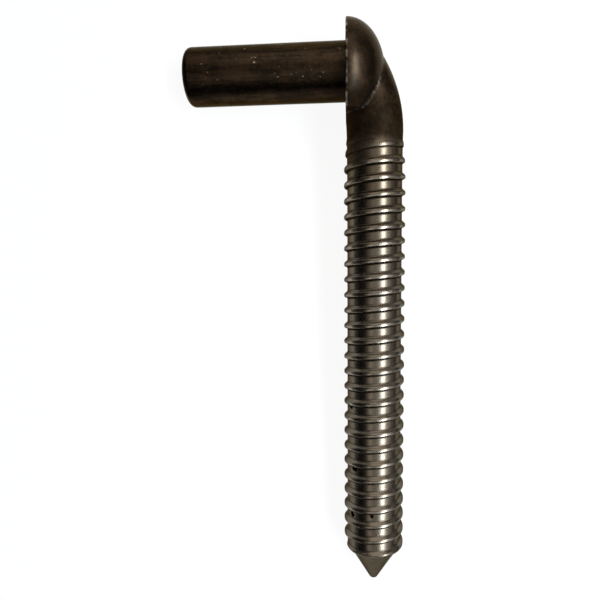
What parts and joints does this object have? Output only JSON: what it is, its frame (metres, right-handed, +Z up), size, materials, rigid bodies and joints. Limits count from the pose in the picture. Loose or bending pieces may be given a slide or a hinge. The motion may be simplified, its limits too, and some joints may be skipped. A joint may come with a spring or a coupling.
{
  "type": "lag hinge pin",
  "caption": "Forged steel gate hinge pin: a plain round pin and domed collar at right angles to a bent shank with a coarse lag thread and a cone point, to be screwed into a wooden post.",
  "frame": {"origin": "on the pin's axis, in the collar's flat face that the hinge eye rests on", "axes": "+Z up from the surface that the part lies on; the shank runs along -Y in plan to its point; the pin runs along -X in plan and down to the surface; +X is behind the collar's dome"},
  "size_m": [0.0734, 0.1915, 0.0341],
  "materials": {
    "forged_steel": "plain forged steel: dark brown-black scale on the pin, collar and bend, rolled bright satin steel on the thread"
  },
  "bodies": {
    "root": {"hinge_pin": "forged_steel"}
  },
  "joints": []
}
